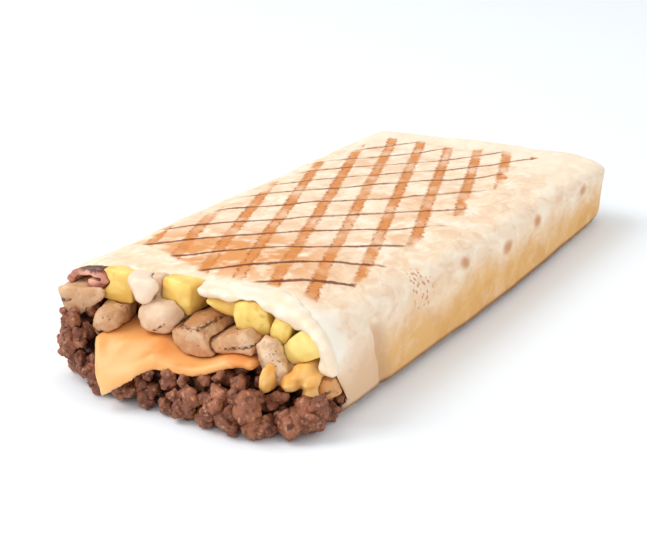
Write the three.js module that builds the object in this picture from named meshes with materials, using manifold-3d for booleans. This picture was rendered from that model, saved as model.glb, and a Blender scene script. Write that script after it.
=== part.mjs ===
// A French tacos: a flour tortilla folded into a long flat parcel, closed at the far end and cut open at the
// near one, where minced beef spills out under a cheese slice, chicken chunks, potato pieces and white cheese
// sauce. Millimetres, +Z up, +Y from the cut end to the folded end, +X to the right of the cut end.
// The nominal cut is the plane y = 0 while the parts are made, and the group is centred at the end.
import * as THREE from "three";
import { mergeVertices } from "three/addons/utils/BufferGeometryUtils.js";
import Module from "manifold-3d";

const wasm = await Module();
wasm.setup();

// ---- driving dimensions ----
const PARCEL_LENGTH = 208; // from the nominal cut to the folded end
const CUT_HALF_WIDTH = 45.5;
const FOLD_HALF_WIDTH = 49;
const CUT_HEIGHT = 36;
const FOLD_HEIGHT = 25.5;
const TORTILLA_THICKNESS = 1.8;
const SLICE_THICKNESS = 2.4; // of the cheese slice
const HEAP_REACH = 30; // how far the fillings' slope runs out in front of the cut
const MINCE_TOP = 17; // height of the mince layer at the cut
const CHUNK_DEPTH = 19; // how far each chunk runs into the parcel
const CLEARANCE = 0.3; // gap between neighbouring pieces

const { sin, cos, abs, sign, max, min, PI } = Math;
const lerp = (a, b, t) => a + (b - a) * t;
const bell = (v, centre, width) => Math.exp(-(((v - centre) / width) ** 2));
// The smaller of two heights, with a rounded change from one to the other.
const softMin = (a, b) => -Math.log(Math.exp(-a) + Math.exp(-b));

// Eases from 0 at start to 1 at end, in either direction.
const smooth = (start, end, v) => {
  const t = min(max((v - start) / (end - start), 0), 1);
  return t * t * (3 - 2 * t);
};

// ---- solids ----
const solidOf = (geometry) => {
  const bare = geometry.clone();
  bare.deleteAttribute("normal");
  bare.deleteAttribute("uv");
  const merged = mergeVertices(bare, 1e-4);
  return new wasm.Manifold(
    new wasm.Mesh({
      numProp: 3,
      vertProperties: new Float32Array(merged.attributes.position.array),
      triVerts: new Uint32Array(merged.index.array),
    }),
  );
};

const geometryOf = (points, triangles) => {
  const geometry = new THREE.BufferGeometry();
  geometry.setAttribute("position", new THREE.Float32BufferAttribute(points.flat(), 3));
  geometry.setIndex(triangles.flat());
  return geometry;
};

// The largest body of a solid, without the loose scraps that a cut can leave.
const largestBody = (solid) =>
  solid.decompose().reduce((best, body) => (body.volume() > best.volume() ? body : best));

const joined = (solids) => solids.reduce((whole, solid) => whole.add(solid));

// A solid from rings of equally many points, each joined to the next, with both ends closed by a fan.
const loft = (rings) => {
  const count = rings[0].length;
  const points = rings.flat();
  const triangles = [];
  for (let r = 0; r + 1 < rings.length; r++) {
    for (let i = 0; i < count; i++) {
      const j = (i + 1) % count;
      const [a, b, c, d] = [r * count + i, r * count + j, (r + 1) * count + j, (r + 1) * count + i];
      triangles.push([a, b, c], [a, c, d]);
    }
  }
  const middle = (ring) => [0, 1, 2].map((k) => ring.reduce((sum, p) => sum + p[k], 0) / count);
  const last = (rings.length - 1) * count;
  points.push(middle(rings[0]), middle(rings.at(-1)));
  for (let i = 0; i < count; i++) {
    const j = (i + 1) % count;
    triangles.push([points.length - 2, j, i], [points.length - 1, last + i, last + j]);
  }
  return geometryOf(points, triangles);
};

// A solid between two height functions over a grid of x and y, where the near edge may follow x. The rows lie
// closer together towards the near edge, the more so the larger the spread.
const slab = ({ left, right, near, far, columns, rows, spread = 1.6, low, high }) => {
  const points = [];
  const triangles = [];
  const at = (side, i, j) => (side * (columns + 1) + i) * (rows + 1) + j;
  for (const height of [low, high]) {
    for (let i = 0; i <= columns; i++) {
      const x = lerp(left, right, i / columns);
      for (let j = 0; j <= rows; j++) {
        const y = lerp(near(x), far, (j / rows) ** spread);
        points.push([x, y, height(x, y)]);
      }
    }
  }
  const quad = (a, b, c, d) => triangles.push([a, b, c], [a, c, d]);
  for (let i = 0; i < columns; i++) {
    for (let j = 0; j < rows; j++) {
      quad(at(1, i, j), at(1, i + 1, j), at(1, i + 1, j + 1), at(1, i, j + 1));
      quad(at(0, i, j), at(0, i, j + 1), at(0, i + 1, j + 1), at(0, i + 1, j));
    }
    quad(at(0, i, 0), at(0, i + 1, 0), at(1, i + 1, 0), at(1, i, 0));
    quad(at(0, i, rows), at(1, i, rows), at(1, i + 1, rows), at(0, i + 1, rows));
  }
  for (let j = 0; j < rows; j++) {
    quad(at(0, 0, j), at(1, 0, j), at(1, 0, j + 1), at(0, 0, j + 1));
    quad(at(0, columns, j), at(0, columns, j + 1), at(1, columns, j + 1), at(1, columns, j));
  }
  return geometryOf(points, triangles);
};

// A rounded lump: a box drawn in towards a superellipsoid, where a higher power keeps the sides flatter.
// lean narrows the far end, taper narrows the top, and a positive wedge thins the right side, a negative one
// the left side.
const lump = ({ at, size, turn = [0, 0, 0], power = 4, lean = 0, taper = 0, wedge = 0, cuts = [3, 3, 3], grow = 0 }) => {
  const box = new THREE.BoxGeometry(2, 2, 2, ...cuts);
  const spots = box.attributes.position;
  const degrees = PI / 180;
  const placed = new THREE.Matrix4()
    .makeRotationFromEuler(new THREE.Euler(...turn.map((v) => v * degrees), "YXZ"))
    .setPosition(...at);
  for (let i = 0; i < spots.count; i++) {
    const p = [spots.getX(i), spots.getY(i), spots.getZ(i)];
    const norm = p.reduce((sum, v) => sum + abs(v) ** power, 0) ** (1 / power);
    const [u, v, w] = p.map((value) => value / norm);
    const narrowing = 1 - (lean * (v + 1)) / 2;
    const tapering = 1 - (taper * (w + 1)) / 2;
    const thinning = 1 - (abs(wedge) * (sign(wedge) * u + 1)) / 2;
    const spot = new THREE.Vector3(
      u * (size[0] / 2 + grow) * narrowing * tapering,
      v * (size[1] / 2 + grow),
      w * (size[2] / 2 + grow) * narrowing * thinning,
    ).applyMatrix4(placed);
    spots.setXYZ(i, spot.x, spot.y, spot.z);
  }
  return box;
};

// Random numbers from 0 to 1, the same on each run.
const seeded = (seed) => {
  let state = seed;
  return () => {
    state = (state * 1664525 + 1013904223) % 4294967296;
    return state / 4294967296;
  };
};

// ---- tortilla: one sheet folded into a sleeve, its far end tucked in, its near end cut ----
const WAIST_SHARE = 0.46; // where the section is widest, as a share of its height
// The section's corners, squarer with a higher power.
const TOP_LEFT_POWER = 6.5;
const TOP_RIGHT_POWER = 3.8;
const BOTTOM_POWER = 11;
const SEAM_X = 10; // the sheet's outer edge, on the underside
const SEAM_STEP = 1.5;
const SEAM_RAMP = 16;
const FOLD_ROUNDING = 5;
const ARC_STEPS = 24;
const ARC_START = -42; // degrees below the waist where the rounded side meets the flat base
const BASE_SHARE = 0.89; // share of the half width that lies flat
const CUT_SAG = 1.1; // how far the top's middle sags at the cut
const RIGHT_FLARE = [-2, 2.4]; // how far the right side spreads at the folded end, at its foot and its top

const halfWidthAt = (y) => lerp(CUT_HALF_WIDTH, FOLD_HALF_WIDTH, smooth(0, 120, y));
const heightAt = (y) => lerp(CUT_HEIGHT, FOLD_HEIGHT, smooth(-40, 205, y));

// The pressed top is a little uneven.
const topWave = (x, y) =>
  0.5 * sin(y / 17 + 0.6) * cos(x / 21) + 0.4 * sin(x / 13 + y / 31) - CUT_SAG * bell(x, 4, 16) * bell(y, -4, 16);

// Towards the folded end the right ridge gets as sharp as the left one.
const topPower = (x, y) =>
  x < 0 ? TOP_LEFT_POWER : lerp(TOP_RIGHT_POWER, TOP_LEFT_POWER, smooth(60, 200, y));

// Height of the wall's inner face above the table at x and y, less a gap.
const ceilingAt = (x, y, gap) => {
  const across = min(abs(x) / (halfWidthAt(y) - TORTILLA_THICKNESS - gap), 1);
  const power = topPower(x, y);
  const share = (1 - across ** power) ** (1 / power);
  const waist = WAIST_SHARE * heightAt(y);
  return lerp(waist, heightAt(y) - TORTILLA_THICKNESS - gap, share) + share * topWave(x, y);
};

// One closed ring of the sheet at y, drawn in by inset.
const sleeveRing = (y, inset, seam) => {
  const halfWidth = halfWidthAt(y) - inset;
  const height = heightAt(y) - inset;
  const waist = WAIST_SHARE * heightAt(y);
  const ring = [];
  for (let i = 0; i <= ARC_STEPS; i++) {
    const angle = (lerp(ARC_START, 180 - ARC_START, i / ARC_STEPS) * PI) / 180;
    const above = sin(angle) > 0;
    const power = above ? topPower(cos(angle), y) : BOTTOM_POWER;
    const flare = cos(angle) > 0 ? lerp(...RIGHT_FLARE, smooth(-0.7, 0.6, sin(angle))) * smooth(130, 205, y) : 0;
    const x = (halfWidth + flare) * sign(cos(angle)) * abs(cos(angle)) ** (2 / power);
    const share = abs(sin(angle)) ** (2 / power);
    const z = above ? lerp(waist, height, share) + smooth(0, 1, share) * topWave(x, y) : lerp(waist, inset, share);
    ring.push([x, y, z]);
  }
  const edge = BASE_SHARE * halfWidth;
  for (const x of [-edge, -edge / 2, SEAM_X, SEAM_X + 0.6, SEAM_X + SEAM_RAMP, edge]) {
    ring.push([x, y, inset + (seam && x === SEAM_X + 0.6 ? SEAM_STEP : 0)]);
  }
  return ring;
};

// The cut isn't straight: the right top corner reaches forward, and the right wall falls back low down.
const cutEdge = (x, z) =>
  1.5 * sin(x / 9) -
  5 * smooth(24, 42, x) * smooth(6, 30, z) -
  5 * smooth(-28, -44, x) +
  3 * bell(x, -5, 9) +
  6.5 * bell(z, 5, 4) * smooth(20, 40, x);

const STATIONS = [0, 9, 26, 52, 84, 116, 148, 178, 196];
const END_STEPS = 3;

// A closed body of the sleeve's outline, drawn in by inset, whose front keeps to the cut edge.
const sleeve = (inset, front, seam = false) => {
  const end = PARCEL_LENGTH - inset;
  const rings = STATIONS.map((y) => sleeveRing(y, inset, seam));
  rings[0] = rings[0].map(([x, , z]) => [x, cutEdge(x, z) + front, z]);
  rings[1] = rings[1].map(([x, y, z]) => [x, y + cutEdge(x, z) * 0.5, z]);
  for (let i = 1; i <= END_STEPS; i++) {
    const turned = ((i / END_STEPS) * PI) / 2;
    const drawnIn = FOLD_ROUNDING * (1 - cos(turned));
    rings.push(sleeveRing(lerp(end - FOLD_ROUNDING, end, sin(turned)), inset + drawnIn * 0.8, seam));
  }
  return loft(rings.map((ring) => ring.toReversed()));
};

// The sheet's last flap folds down over the far end and stops above the table.
const FLAP_PROUD = 1;
const FLAP_EDGE = 0.7;
const endFlap = (grow = 0) => {
  const half = FOLD_HALF_WIDTH - 7 + grow;
  const top = FOLD_HEIGHT - 4;
  const bottom = 6.5 - grow;
  const outline = new THREE.Shape();
  outline.moveTo(-half + 3, bottom);
  outline.lineTo(half - 9, bottom);
  outline.quadraticCurveTo(half, bottom + 1, half, top - 3);
  outline.lineTo(half - 6, top);
  outline.lineTo(-half + 6, top);
  outline.lineTo(-half, top - 4);
  outline.closePath();
  const flap = new THREE.ExtrudeGeometry(outline, {
    depth: 4 + grow,
    bevelEnabled: true,
    bevelThickness: FLAP_EDGE,
    bevelSize: FLAP_EDGE,
    bevelSegments: 1,
    curveSegments: 4,
  });
  return flap.rotateX(PI / 2).translate(0, PARCEL_LENGTH + FLAP_PROUD + grow, 0);
};

// The sheet as a solid, thickened by grow on every face.
const PAST_THE_CUT = -12;
const tortillaSheet = (grow = 0) => {
  const outside = solidOf(sleeve(-grow, -grow, grow === 0));
  const inside = solidOf(sleeve(TORTILLA_THICKNESS + grow, PAST_THE_CUT));
  return outside.subtract(inside).add(solidOf(endFlap(grow)));
};

// ---- the cut face: how far forward each filling stands ----
const FILLING_HALF_WIDTH = CUT_HALF_WIDTH - TORTILLA_THICKNESS - 1;
const FILLING_END = PARCEL_LENGTH - 10;

// The layer of chicken, potato and sauce lies above this height, the mince below it. At the cut it rises to the
// left, waves in the middle and falls to the right, and it flattens out inside.
const MINCE_TOP_INSIDE = 16;
const dividerAt = (x, y) => {
  const middle = 1.8 * bell(x, 17, 6) - 2.6 * bell(x, 4, 9);
  const atCut = MINCE_TOP + middle + 7.5 * smooth(-29, -37, x) - 4.5 * smooth(24, 34, x);
  return lerp(atCut, MINCE_TOP_INSIDE, smooth(2, 24, y));
};

// Half the room that the two layers leave each other, which is more where the cheese slice lies between.
const halfGapAt = (x) => lerp(CLEARANCE / 2, SLICE_THICKNESS, smooth(-35, -30, x) * smooth(31, 25, x));

// The mince lies at its own slope in front of the cut, and its foot stands further back to the left, where it
// bulges over it. Towards the right wall the whole heap draws back.
const BULGE_HEIGHT = 14;
const reachAt = (x) => HEAP_REACH * (1 - 0.45 * smooth(27, 40, x) - 0.25 * smooth(40, 47, x));
const slopeFace = (x, z) => 2 - reachAt(x) * (1 - z / CUT_HEIGHT);
const slopeHeight = (x, y) => CUT_HEIGHT * (1 + (y - 2) / reachAt(x));
const footAt = (x) => {
  const setBackLeft = 8 * smooth(22, -22, x) + 13 * smooth(-24, -44, x);
  const setBackRight = 5 * smooth(20, 40, x) + 14 * smooth(40, 46.5, x);
  return 5 - HEAP_REACH + setBackLeft + setBackRight;
};
const heapFace = (x, z) =>
  z > BULGE_HEIGHT ? slopeFace(x, z) : lerp(footAt(x), slopeFace(x, BULGE_HEIGHT), z / BULGE_HEIGHT);

// ---- chunks: potato, chicken, melted cheese and bacon ----
// Each stands proud of the sloping face at its spot, [x, height], turned about its own axes by degrees.
const faceAt = (x, z) => 2 - HEAP_REACH * (1 - 0.72 * smooth(18, 45, x)) * (1 - z / CUT_HEIGHT);

const CHUNKS = {
  potato_top_left: { spot: [-28.2, 30], size: [11.6, 11.6], turn: [4, 6, 6], power: 7, proud: 2.2 },
  potato_top_middle: { spot: [-5.6, 30.6], size: [12.4, 12], turn: [6, 8, -10], power: 7, proud: 2.4 },
  potato_wedge: { spot: [6.6, 29.9], size: [12.4, 7.6], turn: [2, 10, 12], power: 5, wedge: -0.7 },
  potato_right: { spot: [18, 28.4], size: [12.8, 13.2], turn: [5, -8, 8], power: 4, proud: 3 },
  potato_small: { spot: [27.6, 26.6], size: [7.2, 9.6], turn: [4, 18, 4], power: 4.5, proud: 2.4 },
  potato_corner: { spot: [35.9, 23.6], size: [16.6, 11.6], turn: [4, -34, -4], power: 6, wedge: -0.35, proud: 4 },
  chicken_left_wedge: { spot: [-38.2, 25.4], size: [16.5, 13], turn: [4, -20, 8], power: 7, wedge: 0.75, proud: 2.6 },
  chicken_left: { spot: [-28.6, 20.2], size: [9.6, 11.4], turn: [6, 10, 8], power: 3.4 },
  chicken_pointed: { spot: [14.6, 21.8], size: [20.4, 12], turn: [6, -14, -10], power: 5, wedge: -0.8 },
  chicken_grilled: { spot: [2.8, 20.8], size: [15.5, 12.6], turn: [8, -24, -14], power: 5 },
  chicken_middle: { spot: [-10.6, 24], size: [19, 12.6], turn: [4, -16, -6], power: 2.5, proud: 2.8 },
  chicken_right: { spot: [27.2, 18.2], size: [8.6, 17], turn: [4, -22, 4], power: 3.6 },
  chicken_edge: { spot: [41.4, 11], size: [7, 8], power: 4 },
  melted_drop: { spot: [28.8, 15.2], size: [4.6, 10], turn: [0, 4, 0], power: 3, taper: 0.25, proud: 6.5 },
};

const chunk = ({ spot: [x, z], size: [width, height], proud = 1.5, ...shape }, grow = 0) =>
  solidOf(
    lump({
      at: [x, faceAt(x, z) - proud + CHUNK_DEPTH / 2, z],
      size: [width, CHUNK_DEPTH, height],
      lean: 0.22,
      cuts: [3, 2, 3],
      ...shape,
      grow,
    }),
  );

// The pale middle chunk has a neck that runs up under the sheet's edge, as spot, size and turn.
const CHICKEN_NECK = { spot: [-14.2, 31.4], size: [7.4, 14], turn: [4, 12, 0], power: 2.8, proud: 2.4 };

// The bacon is a rasher folded back on itself under the sheet's left shoulder: a ribbon along a line of
// [x, height], which leans and waves a little on its way into the parcel.
const BACON_THICKNESS = 2.6;
const BACON_NEAR = -5.5;
const BACON_WAVE = 0.5;
const BACON_WAVE_LENGTH = 2.5;
const BACON_STEPS = 4;
const BACON_LINE = [
  [-43.2, 28.6], [-42.4, 30.6], [-40.4, 32.2], [-36, 33], [-32, 32.6], [-30.4, 30.8], [-32.4, 29], [-36.4, 29.4],
];
const baconRasher = (longer = 0) => {
  const side = (sense) =>
    BACON_LINE.map(([x, z], i) => {
      const before = BACON_LINE[max(i - 1, 0)];
      const after = BACON_LINE[min(i + 1, BACON_LINE.length - 1)];
      const across = new THREE.Vector2(before[1] - after[1], after[0] - before[0]).setLength((BACON_THICKNESS / 2) * sense);
      return across.add(new THREE.Vector2(x, z));
    });
  const outline = new THREE.Shape([...side(1), ...side(-1).reverse()]);
  const depth = CHUNK_DEPTH + 2 * longer;
  const ribbon = new THREE.ExtrudeGeometry(outline, { depth, steps: BACON_STEPS, bevelEnabled: false });
  ribbon.rotateX(PI / 2).translate(0, BACON_NEAR + CHUNK_DEPTH + longer, 0);
  const spots = ribbon.attributes.position;
  for (let i = 0; i < spots.count; i++) {
    spots.setX(i, spots.getX(i) + BACON_WAVE * sin(spots.getY(i) / BACON_WAVE_LENGTH));
  }
  return ribbon;
};

// Melted cheese that sags over the mince in the right corner: an arch of lumps as [x, height, radius].
const LOBE_PROUD = 6;
const LOBE_LUMPS = [
  [34, 13.6, 3], [36.2, 15.8, 3.2], [38.8, 13.6, 3.2], [39.2, 9.8, 2.7],
];
const meltedLobe = (grow = 0) =>
  joined(
    LOBE_LUMPS.map(([x, z, radius]) => {
      const at = [x, faceAt(x, z) - LOBE_PROUD + CHUNK_DEPTH / 2, z];
      const size = [2 * radius, CHUNK_DEPTH, 2 * radius];
      return solidOf(lump({ at, size, power: 2.8, cuts: [2, 2, 2], grow }));
    }),
  );

// ---- cheese slice: a soft sheet that waves between mince and chicken and hangs down at the left ----
const SLICE_LEFT = -28.6;
const SLICE_RIGHT = 24;
const SLICE_LOWEST = 3.4;
const SLICE_FAR = 186;

// Its near edge as [x, y], which reaches furthest forward at the hanging corner.
const SLICE_EDGE = [
  [-28.6, -14.6], [-26.2, -18.6], [-23.8, -22.4], [-19.04, -25.98], [-12, -22.4], [-6.3, -18.8], [4, -18.4], [10, -17.8],
  [15, -16.4], [19.4, -14.6], [24, -13.6],
];
const sliceNear = (x) => {
  const next = min(max(SLICE_EDGE.findIndex(([edgeX]) => edgeX >= x), 1), SLICE_EDGE.length - 1);
  const [[startX, startY], [endX, endY]] = [SLICE_EDGE[next - 1], SLICE_EDGE[next]];
  return lerp(startY, endY, min(max((x - startX) / (endX - startX), 0), 1));
};
// The height of its middle: it lies on the mince, and in front of the cut it hugs the mince's slope.
const sliceMiddle = (x, y) => {
  const above = dividerAt(max(x, -26), y) - 0.3 + 1.4 * bell(x, -8, 4);
  const draped = max(SLICE_LOWEST, softMin(above, slopeHeight(x, y) + SLICE_THICKNESS));
  return lerp(draped, above, smooth(-15, -6, y));
};

const cheeseSlice = () =>
  slab({
    left: SLICE_LEFT,
    right: SLICE_RIGHT,
    near: sliceNear,
    far: SLICE_FAR,
    columns: 22,
    rows: 8,
    spread: 2.1,
    low: (x, y) => sliceMiddle(x, y) - SLICE_THICKNESS / 2,
    high: (x, y) => sliceMiddle(x, y) + SLICE_THICKNESS / 2,
  });

// ---- white cheese sauce: fills the upper layer round the chunks, runs out under the edge and drips ----
const SAUCE_NEAR = 3;
const SAUCE_RUN_DEPTH = 13;
// The run under the edge from left to right, and down the right wall, as [x, height, radius].
const SAUCE_RUN = [
  [-18.8, 33, 4.2], [-18, 29.6, 3.4], [4.4, 34.6, 3.6], [8.6, 35, 3.4], [12, 34.4, 3.4], [18, 35, 2.6], [24, 33.8, 3.6],
  [30, 32, 4.2], [35.6, 30, 4], [40, 27, 3.6], [42.4, 22.6, 3.2], [43, 18, 3],
];

const cheeseSauce = (grow = 0) => {
  const body = solidOf(
    slab({
      left: -FILLING_HALF_WIDTH,
      right: FILLING_HALF_WIDTH,
      near: () => SAUCE_NEAR - grow,
      far: FILLING_END,
      columns: 14,
      rows: 5,
      low: (x, y) => dividerAt(x, y) + halfGapAt(x) - grow,
      high: (x, y) => max(ceilingAt(x, y, 1), dividerAt(x, y) + 1),
    }),
  );
  const run = SAUCE_RUN.map(([x, z, radius]) => {
    const size = [radius * 2.3, SAUCE_RUN_DEPTH, radius * 1.9];
    return solidOf(lump({ at: [x, -1, z], size, power: 3.2, cuts: [2, 2, 2], grow }));
  });
  return joined([body, ...run]);
};

// ---- minced beef: a core that runs through the parcel, with the crumbles of the spilled heap fused on ----
const CRUMBLE_ROWS = 6;
const CRUMBLE_RISE = 4.1; // from row to row
const CRUMBLE_GAP = 7.7; // from crumble to crumble in a row
const CRUMBLE_RADIUS = [3, 4.9];
const CORE_DEPTH = 4; // how far the core stands behind the heap's face

const mincedBeef = () => {
  const core = solidOf(
    slab({
      left: -FILLING_HALF_WIDTH,
      right: FILLING_HALF_WIDTH,
      near: (x) => min(footAt(x), slopeFace(x, BULGE_HEIGHT)) + CORE_DEPTH,
      far: FILLING_END,
      columns: 14,
      rows: 7,
      low: (x, y) => max(0, footAt(x) + CORE_DEPTH - y) * 0.9,
      high: (x, y) => max(1.4, min(dividerAt(x, y) - halfGapAt(x), slopeHeight(x, y - CORE_DEPTH))),
    }),
  );
  const random = seeded(7);
  const about = (value, spread) => value + (random() - 0.5) * spread;
  const crumbles = [];
  for (let row = 0; row < CRUMBLE_ROWS; row++) {
    const start = -40 + (row % 2) * CRUMBLE_GAP * 0.5;
    for (let place = start; place < CUT_HALF_WIDTH; place += CRUMBLE_GAP) {
      const x = about(place, 2.4);
      const radius = lerp(...CRUMBLE_RADIUS, random());
      const z = max(about(2.8 + row * CRUMBLE_RISE, 1.6), radius);
      const turn = [random() * 360, random() * 360, random() * 360];
      const y = heapFace(x, z) + 2 + 2 * smooth(-20, -40, x);
      const topOfHeap = dividerAt(x, 0) - 4 * smooth(19, 26, x);
      const besideSlice = x < SLICE_LEFT - 2 || x > SLICE_RIGHT + 2 || y < sliceNear(x) - 1;
      const underSlice = besideSlice || z + radius < sliceMiddle(x, y);
      if (z < topOfHeap && underSlice && abs(x) + radius < CUT_HALF_WIDTH + 1.5) {
        const size = [radius * 2.2, radius * 1.8, radius * 1.9];
        crumbles.push(solidOf(lump({ at: [x, y, z], size, turn, power: 2.6, cuts: [2, 2, 2] })));
      }
    }
  }
  return joined([core, ...crumbles]);
};

// ---- fitting: each filling stays in the room inside and in front of the sheet, clear of those before it ----
const clearOf = (solid, ...others) => others.reduce((left, other) => left.subtract(other), solid);

// A thin curved sheet with the clearance round it is the union of its copies shifted each way.
const WAYS = [[1, 0, 0], [-1, 0, 0], [0, 1, 0], [0, -1, 0], [0, 0, 1], [0, 0, -1]];
const withRoom = (geometry) =>
  joined(WAYS.map((way) => solidOf(geometry.clone().translate(...way.map((step) => step * CLEARANCE)))));

const room = solidOf(sleeve(0, -HEAP_REACH - 10)).subtract(tortillaSheet(CLEARANCE));
const slice = cheeseSlice();
const sliceWithRoom = withRoom(slice);
const solids = { tortilla: tortillaSheet() };
const chunksWithRoom = [];
const addChunk = (name, solid, solidWithRoom) => {
  solids[name] = clearOf(solid.intersect(room), sliceWithRoom, ...chunksWithRoom);
  chunksWithRoom.push(solidWithRoom);
};
addChunk("bacon", solidOf(baconRasher()), withRoom(baconRasher(2 * CLEARANCE)));
for (const [name, facts] of Object.entries(CHUNKS)) {
  const whole = (grow) => {
    const body = chunk(facts, grow);
    return name === "chicken_middle" ? body.add(chunk(CHICKEN_NECK, grow)) : body;
  };
  addChunk(name, whole(0), whole(CLEARANCE));
}
addChunk("melted_lobe", meltedLobe(), meltedLobe(CLEARANCE));
solids.cheese_slice = solidOf(slice).intersect(room);
solids.cheese_sauce = clearOf(cheeseSauce().intersect(room), sliceWithRoom, ...chunksWithRoom);
const sauceWithRoom = cheeseSauce(CLEARANCE);
solids.minced_beef = clearOf(mincedBeef().intersect(room), sliceWithRoom, ...chunksWithRoom, sauceWithRoom);

// ---- the finished group ----
const finish = (colour, roughness) => new THREE.MeshStandardMaterial({ color: colour, roughness, metalness: 0 });
const FINISHES = {
  tortilla: finish("#f3dcb8", 0.75),
  potato: finish("#f3cf63", 0.4),
  bacon: finish("#b5705f", 0.5),
  chicken: finish("#dcb591", 0.55),
  melted: finish("#eeb04c", 0.35),
  cheese_slice: finish("#f5ae57", 0.35),
  cheese_sauce: finish("#f6ead9", 0.3),
  minced_beef: finish("#7a4a36", 0.6),
};

const group = new THREE.Group();
for (const [name, solid] of Object.entries(solids)) {
  const { vertProperties, triVerts } = largestBody(solid).getMesh();
  const geometry = new THREE.BufferGeometry();
  geometry.setAttribute("position", new THREE.BufferAttribute(vertProperties, 3));
  geometry.setIndex(new THREE.BufferAttribute(triVerts, 1));
  geometry.computeVertexNormals();
  const mesh = new THREE.Mesh(geometry, FINISHES[name] ?? FINISHES[name.split("_")[0]]);
  mesh.name = name;
  group.add(mesh);
}
const extent = new THREE.Box3().setFromObject(group);
group.position.set(-(extent.min.x + extent.max.x) / 2, -(extent.min.y + extent.max.y) / 2, -extent.min.z);

export default group;
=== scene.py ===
import math
import random

import bpy
from mathutils import Euler, Matrix, Vector
from mathutils.bvhtree import BVHTree


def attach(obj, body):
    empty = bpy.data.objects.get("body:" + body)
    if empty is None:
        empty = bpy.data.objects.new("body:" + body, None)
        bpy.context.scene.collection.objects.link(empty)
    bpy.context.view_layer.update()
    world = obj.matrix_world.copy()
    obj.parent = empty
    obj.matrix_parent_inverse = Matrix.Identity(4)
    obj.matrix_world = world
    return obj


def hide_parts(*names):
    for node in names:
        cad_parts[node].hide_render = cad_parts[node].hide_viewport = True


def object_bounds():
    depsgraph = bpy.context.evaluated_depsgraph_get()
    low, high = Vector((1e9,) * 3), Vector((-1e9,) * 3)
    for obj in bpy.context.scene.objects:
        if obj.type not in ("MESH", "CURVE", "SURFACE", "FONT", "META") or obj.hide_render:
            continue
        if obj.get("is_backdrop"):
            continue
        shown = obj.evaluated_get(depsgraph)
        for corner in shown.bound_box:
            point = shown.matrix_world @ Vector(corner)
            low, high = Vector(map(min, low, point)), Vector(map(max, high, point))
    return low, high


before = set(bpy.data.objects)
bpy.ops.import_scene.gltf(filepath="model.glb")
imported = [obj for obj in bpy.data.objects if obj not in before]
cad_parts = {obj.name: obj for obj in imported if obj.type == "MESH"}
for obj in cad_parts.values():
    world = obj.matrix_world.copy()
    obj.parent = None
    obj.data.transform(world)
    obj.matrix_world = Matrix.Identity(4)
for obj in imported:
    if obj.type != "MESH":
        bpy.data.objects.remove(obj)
solids_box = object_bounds()

# ---- the tortilla ----
# One soft wheat flour tortilla, about 2 mm thick, folded round the filling into a flat sleeve and tucked in
# at its far end. It is pressed shut in a ribbed grill, which leaves thin dark lines one way and broad tan
# bars the other, and then cut open at the near end.
MM = 0.001  # a millimetre, in metres
MERGED_WITHIN = 0.02 * MM  # corners of a solid's loose triangles this close are one corner
SHEET_ROUNDING = 3  # levels of subdivision that round the folded solid
CORNERS_KEPT = 0.85  # share of the shrinking at each corner that is put back
SHEET_DENTS = ((26 * MM, 1.2 * MM), (9 * MM, 0.8 * MM), (3.2 * MM, 0.25 * MM))  # size and depth of each


def deselect_all():
    bpy.ops.object.select_all(action="DESELECT")


def make_active(piece):
    deselect_all()
    piece.select_set(True)
    bpy.context.view_layer.objects.active = piece


def copied_solid(node, name):
    """A new piece with the shape of a CAD solid, its loose triangles merged."""
    piece = bpy.data.objects.new(name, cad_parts[node].data.copy())
    bpy.context.scene.collection.objects.link(piece)
    piece.data.materials.clear()
    make_active(piece)
    bpy.ops.object.mode_set(mode="EDIT")
    bpy.ops.mesh.select_all(action="SELECT")
    bpy.ops.mesh.remove_doubles(threshold=MERGED_WITHIN)
    bpy.ops.mesh.customdata_custom_splitnormals_clear()
    bpy.ops.object.mode_set(mode="OBJECT")
    return piece


def shaped(piece, kind, **settings):
    """Adds a modifier of that kind to the piece and applies it."""
    make_active(piece)
    modifier = piece.modifiers.new(kind, kind)
    for key, value in settings.items():
        setattr(modifier, key, value)
    bpy.ops.object.modifier_apply(modifier=modifier.name)


def dented(piece, size, depth, middle=0.5):
    """Moves the surface in and out by a cloudy pattern of that size, or only inwards with its middle at 1."""
    pattern = bpy.data.textures.new(piece.name + "_dents", "CLOUDS")
    pattern.noise_scale = size
    shaped(piece, "DISPLACE", texture=pattern, strength=depth, mid_level=middle, texture_coords="LOCAL")
    bpy.data.textures.remove(pattern)


def rounded(piece, levels):
    """Subdivides a coarse piece and keeps its surface near the corners that it had."""
    make_active(piece)
    bpy.ops.object.mode_set(mode="EDIT")
    bpy.ops.mesh.select_all(action="SELECT")
    bpy.ops.mesh.tris_convert_to_quads()
    bpy.ops.object.mode_set(mode="OBJECT")
    trial = bpy.data.objects.new("trial", piece.data.copy())
    bpy.context.scene.collection.objects.link(trial)
    shaped(trial, "SUBSURF", levels=levels, render_levels=levels)
    for corner, reached in zip(piece.data.vertices, trial.data.vertices):
        corner.co += CORNERS_KEPT * (corner.co - reached.co)
    bpy.data.objects.remove(trial)
    shaped(piece, "SUBSURF", levels=levels, render_levels=levels)


def smooth_shaded(piece):
    make_active(piece)
    bpy.ops.object.shade_smooth()


def paint(red, green, blue):
    """A colour given as it looks on a screen, 0 to 255, as light."""
    light = [((v / 255 + 0.055) / 1.055) ** 2.4 if v > 10 else v / 255 / 12.92 for v in (red, green, blue)]
    return (*light, 1.0)


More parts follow.
